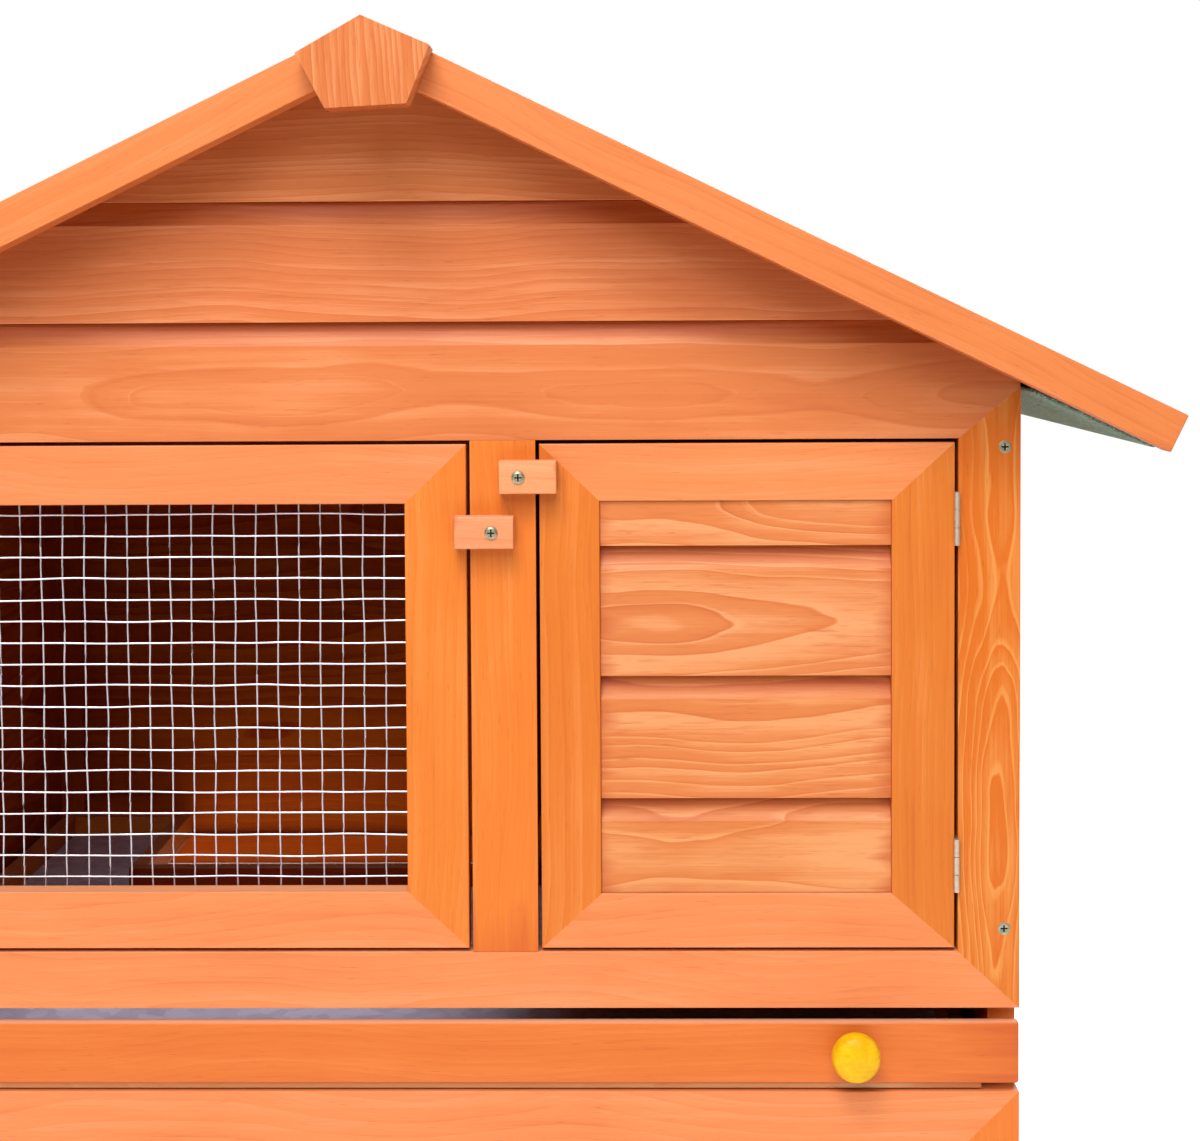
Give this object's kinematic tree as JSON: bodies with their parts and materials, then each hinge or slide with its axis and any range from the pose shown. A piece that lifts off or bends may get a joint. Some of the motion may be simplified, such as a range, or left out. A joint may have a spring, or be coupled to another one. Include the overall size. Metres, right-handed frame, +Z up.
{
  "type": "rabbit hutch",
  "caption": "Two-storey timber rabbit hutch: gable roof, wire mesh and boarded doors with turn buttons, pull-out floor tray over a mesh run.",
  "frame": {"origin": "on the ground, under the middle of the hutch", "axes": "+Z up, -Y towards the viewer of the doors, +X to that viewer's right"},
  "size_m": [0.91, 0.755, 1.0235],
  "materials": {
    "wood_frame": "orange-brown stained pine, satin",
    "wood_boards": "orange-brown stained pine, satin, paler",
    "wood_roof_trim": "orange-brown stained pine, satin",
    "wood_inside": "stained pine, matt",
    "plywood": "bare plywood",
    "wood_button": "pale stained pine",
    "roofing_felt": "green mineral-faced bitumen felt, matt",
    "wire_mesh": "galvanised welded wire",
    "hinge_steel": "zinc plated, dull",
    "screw_steel": "zinc plated",
    "galvanised_sheet": "galvanised sheet, dull",
    "painted_knob": "yellow gloss"
  },
  "bodies": {
    "hutch": {"front_posts": "wood_frame", "front_centre_post": "wood_frame", "front_bottom_rail": "wood_frame", "gable_board_low": "wood_boards", "gable_board_middle": "wood_boards", "gable_board_top": "wood_boards", "lower_front_posts": "wood_frame", "lower_front_rails": "wood_frame", "lower_front_mullion": "wood_frame", "lower_front_mesh": "wire_mesh", "left_side_frame": "wood_frame", "left_side_boards": "wood_boards", "left_side_mesh": "wire_mesh", "right_side_frame": "wood_frame", "right_side_boards": "wood_boards", "right_side_mesh": "wire_mesh", "back_frame": "wood_frame", "back_boards": "wood_boards", "back_mesh": "wire_mesh", "nest_partition": "wood_inside", "tray_bearers": "wood_inside", "ramp_board": "wood_inside", "ramp_cleats": "wood_inside", "roof_deck_left": "wood_inside", "roof_deck_right": "wood_inside", "roof_felt_left": "roofing_felt", "roof_felt_right": "roofing_felt", "ridge_beam": "wood_inside", "bargeboards_front": "wood_roof_trim", "bargeboards_back": "wood_roof_trim", "ridge_caps": "wood_roof_trim", "frame_screws": "screw_steel", "turn_button_screws": "screw_steel", "hinge_pins": "hinge_steel", "mesh_door_hinge_post_leaves": "hinge_steel", "solid_door_hinge_post_leaves": "hinge_steel", "run_door_hinge_post_leaves": "hinge_steel"},
    "mesh_door": {"mesh_door_stiles": "wood_frame", "mesh_door_rails": "wood_frame", "mesh_door_mesh": "wire_mesh", "mesh_door_hinge_door_leaves": "hinge_steel"},
    "solid_door": {"solid_door_stiles": "wood_frame", "solid_door_rails": "wood_frame", "solid_door_slats": "wood_boards", "solid_door_hinge_door_leaves": "hinge_steel"},
    "run_door": {"run_door_stiles": "wood_frame", "run_door_rails": "wood_frame", "run_door_mesh": "wire_mesh", "run_door_hinge_door_leaves": "hinge_steel"},
    "button_nest": {"turn_button_nest": "wood_button"},
    "button_day": {"turn_button_day": "wood_button"},
    "button_run": {"turn_button_run": "wood_button"},
    "tray": {"tray_front": "wood_frame", "tray_base": "plywood", "tray_walls": "wood_inside", "tray_curb": "wood_inside", "tray_liner": "galvanised_sheet", "tray_knobs": "painted_knob"}
  },
  "joints": [
    {"name": "mesh_door_hinge", "type": "hinge", "parent": "hutch", "child": "mesh_door", "pos_m": [-0.3346, -0.3093, 0.63785], "axis": [0, 0, -1], "range_deg": [0, 140]},
    {"name": "solid_door_hinge", "type": "hinge", "parent": "hutch", "child": "solid_door", "pos_m": [0.3346, -0.3093, 0.63785], "axis": [0, 0, 1], "range_deg": [0, 140]},
    {"name": "run_door_hinge", "type": "hinge", "parent": "hutch", "child": "run_door", "pos_m": [0.3346, -0.3093, 0.20425], "axis": [0, 0, 1], "range_deg": [0, 140]},
    {"name": "button_nest_turn", "type": "hinge", "parent": "hutch", "child": "button_nest", "pos_m": [0.0811, -0.3135, 0.7667], "axis": [0, -1, 0], "range_deg": [0, 90]},
    {"name": "button_day_turn", "type": "hinge", "parent": "hutch", "child": "button_day", "pos_m": [0.0653, -0.3135, 0.7348], "axis": [0, -1, 0], "range_deg": [0, 90]},
    {"name": "button_run_turn", "type": "hinge", "parent": "hutch", "child": "button_run", "pos_m": [0.0811, -0.3135, 0.318], "axis": [0, -1, 0], "range_deg": [0, 90]},
    {"name": "tray_slide", "type": "slide", "parent": "hutch", "child": "tray", "axis": [0, -1, 0], "range_m": [0, 0.45]}
  ]
}
